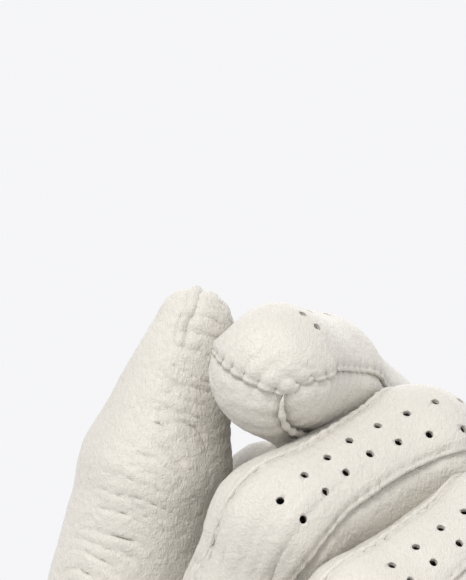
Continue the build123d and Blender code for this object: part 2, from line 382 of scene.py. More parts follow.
def thicken(piece, thickness=LEATHER):
    solidify = piece.modifiers.new("thickness", "SOLIDIFY")
    solidify.thickness = thickness * MM
    solidify.offset = -1
    solidify.use_even_offset = False
    apply_modifiers(piece)
    piece.data.shade_smooth()


class Stall:
    """A finger's skin, as places s along it and angle phi round it.

    phi is 0 at the back, 90 on the radial side and 180 on the palm side. s runs from the
    knuckle to the fingertip ball's centre at s_ball, and on over the tip.
    """

    def __init__(self, name, chain):
        self.name = name
        self.joints, self.axes, self.radii = chain
        self.field = chain_field(self.joints, self.radii)
        self.lay_centreline()

    def lay_centreline(self):
        """The line through the joints, with each corner rounded so that rays don't cross."""
        places, tangents, sides = [self.joints[0]], [self.axes[0][1]], [self.axes[0][0]]
        for number in range(1, len(self.joints) - 1):
            before, after = self.axes[number - 1], self.axes[number]
            angle = np.arccos(np.clip(before[1] @ after[1], -1, 1))
            radius = self.radii[number] + 1.5
            reach = radius * tan(angle / 2)
            inward = unit(after[1] - (after[1] @ before[1]) * before[1])
            start = self.joints[number] - before[1] * reach
            steps = max(2, int(ceil(angle / radians(6))))
            for step in range(steps + 1):
                a = angle * step / steps
                places.append(start + radius * (sin(a) * before[1] + (1 - cos(a)) * inward))
                tangents.append(cos(a) * before[1] + sin(a) * inward)
                sides.append(unit((1 - step / steps) * before[0] + step / steps * after[0]))
        places.append(self.joints[-1])
        tangents.append(self.axes[-1][1])
        sides.append(self.axes[-1][0])
        self.places, self.tangents = np.array(places), np.array(tangents)
        self.sides = np.array(sides)
        self.stations = run_along(self.places)
        self.s_ball = self.stations[-1]
        self.joint_s = [
            self.stations[np.argmin(np.linalg.norm(self.places - joint, axis=1))]
            for joint in self.joints
        ]

    def rays(self, s, phi):
        """Where the ray for each (s, phi) starts, and its direction."""
        inner = np.clip(s, 0, self.s_ball)
        origin = rows_at(inner, self.stations, self.places)
        along = unit(rows_at(inner, self.stations, self.tangents))
        side = rows_at(inner, self.stations, self.sides)
        side = unit(side - np.sum(side * along, -1, keepdims=True) * along)
        back = np.cross(side, along)
        out = np.cos(phi)[:, None] * back + np.sin(phi)[:, None] * side
        over = np.clip((s - self.s_ball) / self.radii[-1], 0, pi / 2)[:, None]
        return origin, np.cos(over) * out + np.sin(over) * along

    def on_skin(self, s, phi):
        """Skin points and outward normals at arrays of s and phi (radians)."""
        return march(self.field, *self.rays(s, phi))


# ---------------------------------------------------------------- materials
def shader(name):
    material = bpy.data.materials.new(name)
    material.use_nodes = True
    tree = material.node_tree
    return material, tree, tree.nodes["Principled BSDF"]


def feed(tree, node, inputs):
    """Sets a node's sockets to values, or links them to other sockets."""
    for name, value in inputs.items():
        if isinstance(value, bpy.types.NodeSocket):
            tree.links.new(value, node.inputs[name])
        else:
            node.inputs[name].default_value = value


def wired(tree, kind, inputs=None, **settings):
    """A new node with its settings and what its sockets take."""
    node = tree.nodes.new(kind)
    for name, value in settings.items():
        setattr(node, name, value)
    feed(tree, node, inputs or {})
    return node


def leather(name, colour=(0.575, 0.546, 0.492)):
    """Soft white sheepskin: pebbled grain, fine crossing creases and uneven colour."""
    material, tree, bsdf = shader(name)
    place = wired(tree, "ShaderNodeTexCoord").outputs["Object"]
    tint = wired(tree, "ShaderNodeTexNoise", {"Vector": place, "Scale": 70, "Detail": 4})
    tones = wired(tree, "ShaderNodeValToRGB", {"Fac": tint.outputs["Fac"]})
    for element, position, share in zip(tones.color_ramp.elements, (0.3, 0.7), (0.94, 1.03)):
        element.position = position
        element.color = (*(c * share for c in colour), 1)
    pebble = wired(
        tree, "ShaderNodeTexVoronoi", {"Vector": place, "Scale": 2400}, feature="DISTANCE_TO_EDGE"
    )
    fine = wired(tree, "ShaderNodeTexNoise", {"Vector": place, "Scale": 1000, "Detail": 6})
    grain = wired(
        tree, "ShaderNodeMath", {0: pebble.outputs["Distance"], 1: 0.6, 2: fine.outputs["Fac"]},
        operation="MULTIPLY_ADD",
    )
    normal = None
    for scale, squeeze, strength, distance in (
        (420, (1.0, 0.55, 1.7), 0.20, 0.0005), (1050, (1.8, 0.8, 0.7), 0.36, 0.0003),
    ):
        mapped = wired(tree, "ShaderNodeMapping", {"Vector": place, "Scale": squeeze})
        warped = wired(
            tree, "ShaderNodeTexNoise",
            {"Vector": mapped.outputs["Vector"], "Scale": scale, "Detail": 4, "Distortion": 0.6},
        )
        away = wired(
            tree, "ShaderNodeMath", {0: warped.outputs["Fac"], 1: 0.5}, operation="SUBTRACT"
        )
        depth = wired(tree, "ShaderNodeMath", {0: away.outputs["Value"]}, operation="ABSOLUTE")
        line = wired(
            tree, "ShaderNodeMapRange", {"Value": depth.outputs["Value"], "From Max": 0.22}
        )
        sockets = {"Height": line.outputs["Result"], "Strength": strength, "Distance": distance}
        if normal:
            sockets["Normal"] = normal
        normal = wired(tree, "ShaderNodeBump", sockets).outputs["Normal"]
    surface = wired(
        tree, "ShaderNodeBump",
        {"Height": grain.outputs["Value"], "Strength": 0.38, "Distance": 0.0003, "Normal": normal},
    )
    feed(tree, bsdf, {
        "Normal": surface.outputs["Normal"], "Base Color": tones.outputs["Color"],
        "Roughness": 0.37, "Specular IOR Level": 0.45, "Sheen Weight": 0.10,
    })
    return material


def thread_material():
    material, tree, bsdf = shader("thread")
    place = wired(tree, "ShaderNodeTexCoord").outputs["Object"]
    twist = wired(tree, "ShaderNodeTexNoise", {"Vector": place, "Scale": 4200}).outputs["Fac"]
    lumps = wired(tree, "ShaderNodeBump", {"Height": twist, "Strength": 0.4, "Distance": 0.0001})
    feed(tree, bsdf, {
        "Normal": lumps.outputs["Normal"], "Base Color": (0.61, 0.58, 0.52, 1), "Roughness": 0.6,
    })
    return material


def fabric(name, colour, scale, strength):
    """Woven tape or pile: cells for the weave, with fuzz over them."""
    material, tree, bsdf = shader(name)
    place = wired(tree, "ShaderNodeTexCoord").outputs["Object"]
    weave = wired(tree, "ShaderNodeTexVoronoi", {"Vector": place, "Scale": scale})
    fuzz = wired(
        tree, "ShaderNodeTexNoise", {"Vector": place, "Scale": scale * 2.3, "Detail": 5}
    ).outputs["Fac"]
    height = wired(
        tree, "ShaderNodeMath", {0: weave.outputs["Distance"], 1: fuzz}, operation="ADD"
    ).outputs["Value"]
    lumps = wired(
        tree, "ShaderNodeBump", {"Height": height, "Strength": strength, "Distance": 0.0006}
    )
    mix = wired(tree, "ShaderNodeValToRGB", {"Fac": fuzz})
    mix.color_ramp.elements[0].color = (*(c * 0.82 for c in colour), 1)
    mix.color_ramp.elements[1].color = (*colour, 1)
    feed(tree, bsdf, {
        "Normal": lumps.outputs["Normal"], "Base Color": mix.outputs["Color"],
        "Roughness": 0.85, "Sheen Weight": 0.3,
    })
    return material


WHITE_LEATHER = leather("white_leather")
THREAD = thread_material()


# ---------------------------------------------------------------- camera and light
VIEW_CENTRE = in_hand((0, -WRIST, 0)) * -1 + (28.1, 8.9, 129.2)
CAMERA_DISTANCE = 600.0
VISIBLE_HEIGHT = 86.05


def set_camera():
    data = bpy.data.cameras.new("camera")
    data.sensor_width = 36
    data.lens = data.sensor_width * CAMERA_DISTANCE / VISIBLE_HEIGHT
    data.clip_start, data.clip_end = 0.01, 20
    camera = bpy.data.objects.new("camera", data)
    camera.location = tuple((VIEW_CENTRE + (0, -CAMERA_DISTANCE, 0)) * MM)
    camera.rotation_euler = (pi / 2, 0, 0)
    bpy.context.scene.collection.objects.link(camera)
    bpy.context.scene.camera = camera


def area_light(name, place, aim, size, power, colour):
    data = bpy.data.lights.new(name, "AREA")
    data.size, data.energy, data.color = size, power, colour
    light = bpy.data.objects.new(name, data)
    light.location = place
    track = np.asarray(aim) - np.asarray(place)
    light.rotation_euler = (
        atan2(sqrt(track[0] ** 2 + track[1] ** 2), -track[2]), 0, atan2(-track[0], track[1])
    )
    bpy.context.scene.collection.objects.link(light)


def set_light():
    middle = VIEW_CENTRE * MM - (0, 0, 0.03)
    for name, place, size, power, colour in LIGHTS:
        area_light(name, middle + place, middle, size, power, colour)
    world = bpy.data.worlds.new("studio")
    bpy.context.scene.world = world
    world.use_nodes = True
    background = world.node_tree.nodes["Background"]
    background.inputs["Color"].default_value = (0.92, 0.92, 0.935, 1)
    background.inputs["Strength"].default_value = 1.0
    bpy.context.scene.view_settings.view_transform = "Standard"


def add_floor():
    material, tree, bsdf = shader("floor")
    feed(tree, bsdf, {"Base Color": (0.66, 0.66, 0.67, 1), "Roughness": 0.9})
    low = cad_low[2] / MM - 1
    half = 450
    corners = [(-half, -half, low), (half, -half, low), (half, half, low), (-half, half, low)]
    floor = add_mesh("floor", corners, [(0, 1, 2, 3)], material, smooth=False)
    floor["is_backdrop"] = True


# ---------------------------------------------------------------- strips of a stall
class Strip:
    """A panel or fourchette as a grid of skin points, one row of rays after another.

    A row is a station s, a turn over the fingertip (0 at the back, 180 at the palm) and
    a latitude towards the thumb, for each of its two edges.
    """

    def __init__(self, stall, low_edge, high_edge, step):
        self.stall = stall
        rows = len(low_edge)
        low = self.edge_rays(low_edge)
        high = self.edge_rays(high_edge)
        middle = self.edge_rays(self.halfway(low_edge, high_edge))
        first = np.max(np.arccos(np.clip(np.sum(low[1] * middle[1], 1), -1, 1)))
        columns = max(4, int(first * stall.radii[0] / step))
        t = np.linspace(0, 1, columns)
        near = self.between(low[1], middle[1], t)
        far = self.between(middle[1], high[1], t)[:, 1:]
        rays = np.concatenate([near, far], 1)
        columns = 2 * columns - 1
        t = np.linspace(0, 1, columns)
        origins = np.repeat(low[0][:, None], columns, 1)
        self.s = np.repeat(low_edge[:, 0][:, None], columns, 1)
        self.turn = (1 - t) * low_edge[:, 1][:, None] + t * high_edge[:, 1][:, None]
        self.points, self.normals = march(stall.field, origins, rays)
        _, side = stall.rays(self.s[:, 0], np.full(rows, pi / 2))
        towards_thumb = np.sum(rays * side[:, None], 2)
        self.latitude = np.degrees(np.arcsin(np.clip(towards_thumb, -1, 1)))
        over = np.minimum(self.turn, 180 - self.turn) * (low_edge[:, 0] >= stall.s_ball)[:, None]
        self.place = self.s + np.radians(over) * stall.radii[-1]
        self.rows, self.columns = rows, columns
        self.along = run_along(self.points)
        self.across = run_along(self.points.transpose(1, 0, 2)).T
        self.from_low = self.across
        self.from_high = self.across[:, -1:] - self.across

    @staticmethod
    def halfway(low_edge, high_edge):
        """The row's middle: between two edges of one panel, or over a fourchette's side."""
        middle = (low_edge + high_edge) / 2
        across_side = np.abs(low_edge[:, 1] - high_edge[:, 1]) > 1
        low, high = low_edge[:, 2], high_edge[:, 2]
        lat = np.where(np.abs(low) < np.abs(high), low, high)
        turned = np.abs(low_edge[:, 1] - high_edge[:, 1]) / 2
        over_side = 90 - (90 - np.abs(lat)) * np.cos(np.radians(turned)) ** 2
        middle[across_side, 2] = (np.sign(lat) * over_side)[across_side]
        return middle

    def edge_rays(self, edge):
        origin, out = self.stall.rays(edge[:, 0], np.zeros(len(edge)))
        before_tip = np.minimum(edge[:, 0], self.stall.s_ball)
        _, side = self.stall.rays(before_tip, np.full(len(edge), pi / 2))
        along = np.cross(out, side)
        over, lat = np.radians(edge[:, 1:2]), np.radians(edge[:, 2:3])
        ray = np.cos(lat) * (np.cos(over) * out + np.sin(over) * along) + np.sin(lat) * side
        return origin, ray

    @staticmethod
    def between(low, high, t):
        """Rays from low to high in equal turns."""
        angle = np.arccos(np.clip(np.sum(low * high, 1), -1, 1))[:, None, None]
        angle = np.maximum(angle, 1e-4)
        t = t[None, :, None]
        mixed = np.sin((1 - t) * angle) * low[:, None] + np.sin(t * angle) * high[:, None]
        return unit(mixed)

    def raised(self, height):
        return self.points + self.normals * height[..., None]

    def line(self, height, from_low=None, from_high=None):
        """The line on the raised strip at a distance from one of its edges."""
        raised = self.raised(height)
        distance = self.from_low if from_low is not None else self.from_high
        target = from_low if from_low is not None else from_high
        places, normals = np.empty((2, self.rows, 3))
        for row in range(self.rows):
            order = np.argsort(distance[row])
            at = distance[row][order]
            places[row] = rows_at(target, at, raised[row, order])
            normals[row] = rows_at(target, at, self.normals[row, order])
        return places, unit(normals)


def body_rows(stall, start, step):
    return np.arange(start, stall.s_ball, step)


def edge_latitude(table, place):
    """The latitude of a seam at places along the stall, from a table, with corners eased."""
    if not isinstance(table, list):
        return np.full(len(place), float(table))
    at, latitudes = zip(*table)
    return np.mean([np.interp(place + near, at, latitudes) for near in np.linspace(-3, 3, 7)], 0)


def panel_edges(stall, start, step, palm, tables, tip_seam, lap):
    """The two edges of a back or palm panel, from the base over to the tip seam."""
    s = body_rows(stall, start, step)
    radius = stall.radii[-1]
    side = 180.0 if palm else 0.0
    seam = tip_seam + (0 if palm else degrees_of(lap, radius))
    reach = abs(seam - side)
    turns = np.append(np.arange(0, reach, degrees_of(step, radius)), reach)
    over = side + turns * (-1 if palm else 1)
    s_all = np.concatenate([s, np.full(len(over), stall.s_ball)])
    over_all = np.concatenate([np.full(len(s), side), over])
    place = s_all + np.abs(np.radians(over_all - side)) * radius
    margin = degrees_of(lap, stall.radii[1])
    edges = []
    for sign, table in zip((-1, 1) if not palm else (1, -1), tables):
        edges.append(np.stack([s_all, over_all, edge_latitude(table, place) + sign * margin], 1))
    return edges


def fourchette_edges(stall, start, step, back_table, palm_table, tip_seam):
    """A fourchette's edges: at the back and at the palm, meeting in a point at the tip."""
    s = body_rows(stall, start, step)
    radius = stall.radii[-1]
    turns = np.linspace(0, 1, int(tip_seam / degrees_of(step, radius)))
    s_all = np.concatenate([s, np.full(len(turns), stall.s_ball)])
    share = np.concatenate([np.zeros(len(s)), turns]) * 0.995
    edges = []
    for table, reach, side in ((back_table, tip_seam, 0), (palm_table, 180 - tip_seam, 180)):
        latitude = edge_latitude(table, s_all + np.radians(reach * share) * radius)
        edges.append(np.stack([s_all, abs(side - reach * share), latitude], 1))
    return edges


def degrees_of(length, radius):
    return length / radius * 180 / pi


# ---------------------------------------------------------------- relief of the leather
def risen(strip):
    """0 at a stall's first edge, 1 where its skin is out of the hand's leather."""
    start = START[strip.stall.name]
    return ramp(strip.s, start, start + RISE_LENGTH)


def relief(strip, seed, creased=1.0):
    """Height of the leather's own folds and creases, before its seams."""
    flat = strip.points.reshape(-1, 3)
    slow = noise(flat / 9.0, seed) * 0.28 + noise(flat / 4.2, seed + 3) * 0.09
    stall = strip.stall
    s = strip.s.reshape(-1)
    turn = strip.turn.reshape(-1)
    bends = sum(bump(s, joint, 6.0) for joint in stall.joint_s[1:-1])
    on_palm = ramp(turn, 60, 150)
    across = strip.across.reshape(-1)
    length = np.repeat(strip.along[:, strip.columns // 2], strip.columns)
    wavy = length + 0.9 * noise(flat / 5.0, seed + 5)
    crossing = creases(np.stack([wavy / 2.3, across / 8.0], 1), seed + 9)
    at_bends = 0.24 * np.clip(bends, 0, 1) * (0.2 + 0.8 * on_palm)
    amount = creased * (0.03 + at_bends + 0.08 * on_palm)
    diagonals = np.stack([(wavy + across) / 5.5, (wavy - across) / 2.0], 1)
    slanting = creases(diagonals, seed + 11) * 0.10
    fine = creases(flat / 2.0, seed + 13) * 0.012
    height = slow + crossing * amount + slanting + fine
    height = height.reshape(strip.s.shape)
    if stall.name in OWN_RELIEF:
        height = height + OWN_RELIEF[stall.name](strip, seed)
    sunk = 1 - risen(strip)
    return height * (1 - sunk) - SUNK_START * sunk


def index_relief(strip, seed):
    """The flattened side of the fingertip, pressed towards the thumb."""
    pressed = np.exp(-((strip.latitude - 62) / 26) ** 2 - ((strip.turn - 52) / 40) ** 2)
    return -0.9 * pressed * (strip.place > strip.stall.s_ball - 6)


def middle_relief(strip, seed):
    """Deep wrinkles that fan out over the last two bones, away from the bend."""
    distance = strip.place - strip.stall.joint_s[2]
    slope = np.radians(strip.latitude) * strip.stall.radii[2]
    fan = np.stack([slope.ravel() / 1.8 + distance.ravel() / 8, distance.ravel() / 12], 1)
    fan += 0.25 * noise(fan * 2, seed + 21)[:, None]
    wrinkles = creases(fan, seed + 23).reshape(strip.s.shape)
    hollow = bump(distance, 6, 5) * bump(strip.latitude, -42, 14)
    return 0.60 * wrinkles * ramp(distance, -9, 5) * (strip.turn < 60) - 0.7 * hollow


def thumb_relief(strip, seed):
    """Fine wrinkles across the thumb, and the pointed dart that shapes its tip."""
    if strip.turn.min() > 90:
        return 0.0
    middle = np.interp(strip.place, (60, 79, 91, 101), (-30, -12, 2, 3))
    length, across = strip.place.ravel(), strip.across.ravel()
    bent = length + 1.6 * noise(np.stack([length / 7, across / 6], 1), seed + 31) + across * 0.18
    wrinkles = creases(np.stack([bent / 1.15, across / 10], 1), seed + 33).reshape(strip.s.shape)
    broad = creases(np.stack([bent / 5.2, across / 16], 1), seed + 35).reshape(strip.s.shape)
    band = bump(strip.latitude, middle + 12, 42) * (0.35 + 0.65 * ramp(strip.place, 52, 66))
    side = (strip.latitude + 10) * pi / 180 * 8.0 + 0.35 * np.sin(strip.place)
    at_dart = ramp(strip.place, DART_START, DART_START + 3.5)
    ridge = 0.42 * bump(side, 0, 0.55) - 0.30 * bump(side, 1.2, 0.8) - 0.16 * bump(side, -1.2, 0.8)
    pucker = 0.05 * np.cos(strip.place * 2 * pi / 1.9) * np.exp(-np.abs(side) / 1.8)
    return (0.36 * wrinkles + 0.28 * broad) * band + at_dart * (ridge + pucker)


OWN_RELIEF = {"index": index_relief, "middle": middle_relief, "thumb": thumb_relief}

def seam_relief(strip, seed, laps, end=True, pucker=0.22):
    """Lapped edges stand up, with a stitched groove; edges beneath them dip."""
    length = np.repeat(strip.along[:, strip.columns // 2][:, None], strip.columns, 1)
    total = length[-1, 0]
    seams = [
        (strip.from_low, strip.along[:, :1] + length * 0),
        (strip.from_high, strip.along[:, -1:] + length * 0),
    ]
    if end:
        seams.append((total - length, strip.across))
    height = np.full(strip.s.shape, LAP if laps else 0.0) * risen(strip)
    for number, (distance, run) in enumerate(seams):
        phase = run / STITCH_PITCH * 2 * pi + 1.5 * noise(
            np.stack([run.ravel() / 7, distance.ravel() / 9], 1), seed + number
        ).reshape(run.shape)
        near_tip = 0.45 + 1.9 * ramp(length, total - 20, total - 6)
        reach = 1.5 + 1.4 * ramp(length, total - 22, total - 6)
        height += -pucker * near_tip * (0.5 + 0.5 * np.cos(phase)) * np.exp(-distance / reach)
        if laps:
            height -= 0.26 * bump(distance, STITCH_INSET, 0.42)
            between = np.cos((run - STITCH_GAP_AT) * 2 * pi / STITCH_PITCH)
            height -= 0.42 * bump(distance, STITCH_INSET, 0.5) * np.clip(between, 0, 1) ** 3
            height -= 0.18 * np.exp(-distance / 0.3)
        else:
            height -= 0.80 * np.exp(-((distance / 1.5) ** 2))
    return height


# ---------------------------------------------------------------- thread and holes
def capsule(start, end, radius, normal, sides=6):
    """A short round-ended thread between two points."""
    along = unit(end - start)
    side = unit(np.cross(along, normal))
    up = np.cross(side, along)
    length = np.linalg.norm(end - start)
    profile = [(0.0, 0.15), (0.12, 0.75), (0.3, 1.0), (0.7, 1.0), (0.88, 0.75), (1.0, 0.15)]
    vertices = []
    for share, width in profile:
        centre = start + along * length * share + up * radius * (0.25 - 0.9 * (share - 0.5) ** 2)
        for number in range(sides):
            a = 2 * pi * number / sides
            vertices.append(centre + radius * width * (cos(a) * side + 0.8 * sin(a) * up))
    return vertices, capped_faces(len(profile), sides)


def stitches_along(places, normals):
    """Stitches laid end to end with a gap, along a line of skin places."""
    run = run_along(places)
    threads = ([], [])
    for start in np.arange(STITCH_START, run[-1] - STITCH_LENGTH, STITCH_PITCH):
        near, far = (rows_at(at, run, places) for at in (start, start + STITCH_LENGTH))
        if np.linalg.norm(far - near) >= 0.5 * STITCH_LENGTH:
            normal = unit(rows_at(start + STITCH_LENGTH / 2, run, normals))
            add_part(threads, capsule(near, far, STITCH_RADIUS, normal))
    return threads


def hole_cutters(places, normals, depth=1.6, sides=18):
    """Short plugs through the leather, to be cut out of it."""
    plugs = ([], [])
    faces = [face[::-1] for face in capped_faces(2, sides)]
    for place, normal in zip(places, normals):
        side = unit(np.cross(normal, (0.3, 0.5, 0.8)))
        up = np.cross(normal, side)
        vertices = []
        for height in (-depth, depth):
            for number in range(sides):
                a = 2 * pi * number / sides
                out = cos(a) * side + sin(a) * up
                vertices.append(place + normal * height + HOLE_RADIUS * out)
        add_part(plugs, (vertices, faces))
    return plugs


def punch(piece, places, normals):
    cutter = add_mesh("cutter", *hole_cutters(places, normals), WHITE_LEATHER, smooth=False)
    cut = piece.modifiers.new("holes", "BOOLEAN")
    cut.object, cut.operation, cut.solver = cutter, "DIFFERENCE", "MANIFOLD"
    apply_modifiers(piece)
    mesh = cutter.data
    bpy.data.objects.remove(cutter)
    bpy.data.meshes.remove(mesh)


def hole_places(stall, last, row):
    """Two punched rows along a stall's back, counted from the last hole near the tip."""
    places, normals = [], []
    for shift, lag in ((0, 0.0), (-ROW_ANGLE, SECOND_ROW_LAG)):
        s = np.arange(last, HOLES_START, -0.2)
        points, out = stall.on_skin(s, np.radians(np.interp(s, *zip(*row)) + shift))
        run = run_along(points)
        chosen = np.searchsorted(run, np.arange(lag, run[-1], HOLE_SPACING))
        places += list(points[chosen] + out[chosen] * LAP)
        normals += list(out[chosen])
    return places, normals


def tube(places, normals, radius, lift, sides=8):
    """A welt along a line of skin places, drawn in where each stitch pulls it."""
    run = run_along(places)
    side = unit(np.cross(unit(np.gradient(places, axis=0)), normals))
    swell = radius * (1 + 0.22 * np.cos(run * 2 * pi / STITCH_PITCH)) * np.clip(run / 3, 0.05, 1)
    swell *= np.clip((run[-1] - run) / 3, 0.05, 1)
    angles = (np.arange(sides) * 2 * pi / sides)[None, :, None]
    ring = np.cos(angles) * side[:, None] + np.sin(angles) * normals[:, None]
    vertices = (places + normals * lift)[:, None] + ring * swell[:, None, None]
    return vertices.reshape(-1, 3), capped_faces(len(places), sides)


# ---------------------------------------------------------------- finger stalls
# Seams of each stall, as latitudes towards the thumb or tables of (place, latitude), where
# the place runs along the stall and on over its tip. Back and palm run ulnar to radial.
CURLED_PALM = (-PANEL_HALF, [(0, 47), (80, 47), (90, 37)])
SEAMS = {
    "index": dict(
        back=([(0, -46), (58, -50), (64, -49), (75.5, -56), (81, -64), (86, -55), (91, -37)], 90),
        palm=([(0, -47), (75.5, -50), (88, -37)], 90),
        fourchettes=("ulnar",), pucker=0.24, tip=101.0, welts=("palm",),
    ),
    "middle": dict(
        back=([(0, -47), (38, -26), (42, -26), (49, -40), (58, -47), (66, -57), (94, -37)],
              [(0, 47), (40, 30), (54, 17), (62, 12), (70, 14), (80, 20), (94, 37)]),
        palm=CURLED_PALM,
        fourchettes=("ulnar", "radial"), pucker=0.2, tip=109.0, welts=("back",),
    ),
    "ring": dict(
        back=([(0, -47), (42, -30), (58, -52), (66, -60), (90, -37)],
              [(0, 47), (40, 24), (58, 19), (68, 22), (90, 37)]),
        palm=CURLED_PALM,
        fourchettes=("ulnar", "radial"), pucker=0.2, tip=109.0, welts=("back",),
    ),
    "little": dict(
        back=(-90, [(0, 47), (40, 33), (60, 33), (76, 37)]),
        palm=(-90, [(0, 47), (60, 47), (72, 37)]),
        fourchettes=("radial",), pucker=0.2, tip=109.0, welts=("back",),
    ),
    "thumb": dict(back=(-89, 89), palm=(-89, 89), fourchettes=(), pucker=0.08, tip=100.0, welts=()),
}
START = {"index": 8, "middle": 8, "ring": 8, "little": 8, "thumb": 26}
STEP = {"index": 0.42, "middle": 0.45, "ring": 0.55, "little": 0.7, "thumb": 0.36}
# The last hole's place near the tip, and the latitude of the first row along the stall. The
# index finger's rows turn away behind the first two holes.
HOLES = {
    "index": dict(last=78.8, row=((73.8, 28), (78.8, -6))),
    "middle": dict(last=62.2, row=[(0, -2), (44, -4), (50, 0), (55, -3), (62, -15)]),
    "ring": dict(last=55.2, row=[(0, 0), (43, -2), (56, -8)]),
    "little": dict(last=47.0, row=[(0, 2), (50, -4)]),
}


def thread_height(height, strip, window=15):
    """A strip's height averaged along the seam, so that threads don't follow each hole."""
    kernel = np.hanning(window) / np.hanning(window).sum()
    padded = np.pad(height, ((window // 2, window // 2), (0, 0)), mode="edge")
    smooth = np.array([np.convolve(column, kernel, "valid") for column in padded.T]).T
    return smooth + THREAD_PROUD * risen(strip)


def attach(piece, nodes):
    """Bakes the piece's transform in place, and hides the CAD nodes that it stands for."""
    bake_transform(piece)
    if nodes:
        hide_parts(*nodes)


def build_stall(name, stall, seed):
    """A stall's back, palm and fourchettes, with their stitching and holes."""
    start, step = START[name], STEP[name]
    seams = SEAMS[name]
    threads = ([], [])

    def add_strip(part, edges, height_of, nodes):
        strip = Strip(stall, *edges, step)
        height = height_of(strip)
        faces = [face[::-1] for face in grid_faces(strip.rows, strip.columns)]
        raised = strip.raised(height).reshape(-1, 3)
        piece = add_mesh(f"{name}_{part}", raised, faces, WHITE_LEATHER)
        thicken(piece)
        if part == "back" and name in HOLES:
            punch(piece, *hole_places(stall, **HOLES[name]))
        attach(piece, [node for node in frame["nodes"] if node.startswith(nodes)])
        return strip, height

    # The thumb's skin is laid out from its front, so its two panels trade places.
    back_nodes = (f"{name}_back",) if name != "thumb" else ("thumb_front", "thumb_base")
    palm_nodes = (f"{name}_palm",) if name != "thumb" else ("thumb_back",)
    tables, tip = seams["back"], seams["tip"]
    back, back_height = add_strip(
        "back", panel_edges(stall, start, step, False, tables, tip, SEAM_ALLOWANCE),
        lambda strip: relief(strip, seed) + seam_relief(strip, seed, True, pucker=seams["pucker"]),
        back_nodes,
    )
    height = thread_height(back_height, back)
    add_part(threads, stitches_along(*back.line(height, from_low=STITCH_INSET)))
    add_part(threads, stitches_along(*back.line(height, from_high=STITCH_INSET)))
    palm, _ = add_strip(
        "palm", panel_edges(stall, start, step, True, seams["palm"][::-1], tip, 0),
        lambda strip: relief(strip, seed + 40, creased=1.4) + seam_relief(strip, seed + 40, False),
        palm_nodes,
    )
    for side in seams["fourchettes"]:
        number = 1 if side == "radial" else 0
        edges = fourchette_edges(stall, start, step, tables[number], seams["palm"][number], tip)
        add_strip(
            f"{side}_fourchette", edges if side == "radial" else edges[::-1],
            lambda strip: (
                relief(strip, seed + 70) + seam_relief(strip, seed + 70, False, end=False)
            ),
            (f"{name}_{side}",),
        )
    for panel in seams["welts"]:
        strip, lift = (back, 0.72) if panel == "back" else (palm, 0.45)
        places, normals = strip.line(np.zeros(strip.s.shape), from_high=0.0)
        welt = tube(places[WELT_START:], normals[WELT_START:], WELT_RADIUS, lift)
        piece = add_mesh(f"{name}_{panel}_welt", *welt, WHITE_LEATHER)
        attach(piece, [])

    piece = add_mesh(f"{name}_stitches", *threads, THREAD)
    attach(piece, [])


# ---------------------------------------------------------------- palm and back of the hand
def smoothed_sections():
    """The hand's sections at every millimetre from the opening, with their steps eased."""
    table = np.array(HAND_SECTIONS, float)
    distance = np.arange(-20, 141.0)
    kernel = np.hanning(25) / np.hanning(25).sum()
    padded = np.arange(distance[0] - 12, distance[-1] + 13)
    columns = [
        np.convolve(np.interp(padded, table[:, 0], column), kernel, "valid")
        for column in table[:, 1:].T
    ]
    return distance, np.array(columns)


SECTION_DISTANCE, SECTION_COLUMNS = smoothed_sections()


def hand_tube(points):
    """Distance to the palm's oval tube; points are in the hand's own directions."""
    r, d, b = points.T
    middle_r, middle_b, half_width, half_thick = (
        np.interp(d, SECTION_DISTANCE, column) for column in SECTION_COLUMNS
    )
    x, y = (r - middle_r) / half_width, (b - middle_b) / half_thick
    size = np.sqrt(x * x + y * y) + 1e-6
    steepness = np.sqrt((x / half_width) ** 2 + (y / half_thick) ** 2) / size + 1e-6
    tube = (size - 1) / np.maximum(steepness, 0.5 / half_width)
    knuckle_line = 104 + 0.22 * (r + 8) - 8
    return -soft_union(-tube, -(d - knuckle_line), 10)


class Hand:
    """The palm, the thumb's root, the web and the finger stubs, as one distance field."""

    def __init__(self, chains):
        self.parts = []
        for name, (joints, _, radii) in chains.items():
            places = joints @ HAND.T
            if name == "thumb":
                end = places[1] + (places[2] - places[1]) * THUMB_STUB
                self.parts.append((places[0], end, radii[0] - 0.3, radii[1] - 0.9, 8.0))
                web_start = places[0] * 0.3 + places[1] * 0.7
                web_end = chains["index"][0][0] @ HAND.T
                self.parts.append((web_start, web_end + (0, 4, 0), *WEB_RADII, WEB_SOFTNESS))
                fold = (np.array(end) for end in WEB_FOLD)
                self.parts.append((*fold, *FOLD_RADII, FOLD_SOFTNESS))
                continue
            root = places[0] * (0.5, 0.28, 0.5) + (0, 0, 1.5)
            end = places[0] + (places[1] - places[0]) * FINGER_STUB
            self.parts.append((root, places[0], radii[0] - 2.2, radii[0] - 0.5, 5.0))
            self.parts.append((places[0], end, radii[0] - 0.5, radii[0] - 0.7, 3.0))

    def field(self, points):
        total = hand_tube(points)
        for start, end, first, last, softness in self.parts:
            total = soft_union(total, round_cone(points, start, end, first, last), softness)
        return total


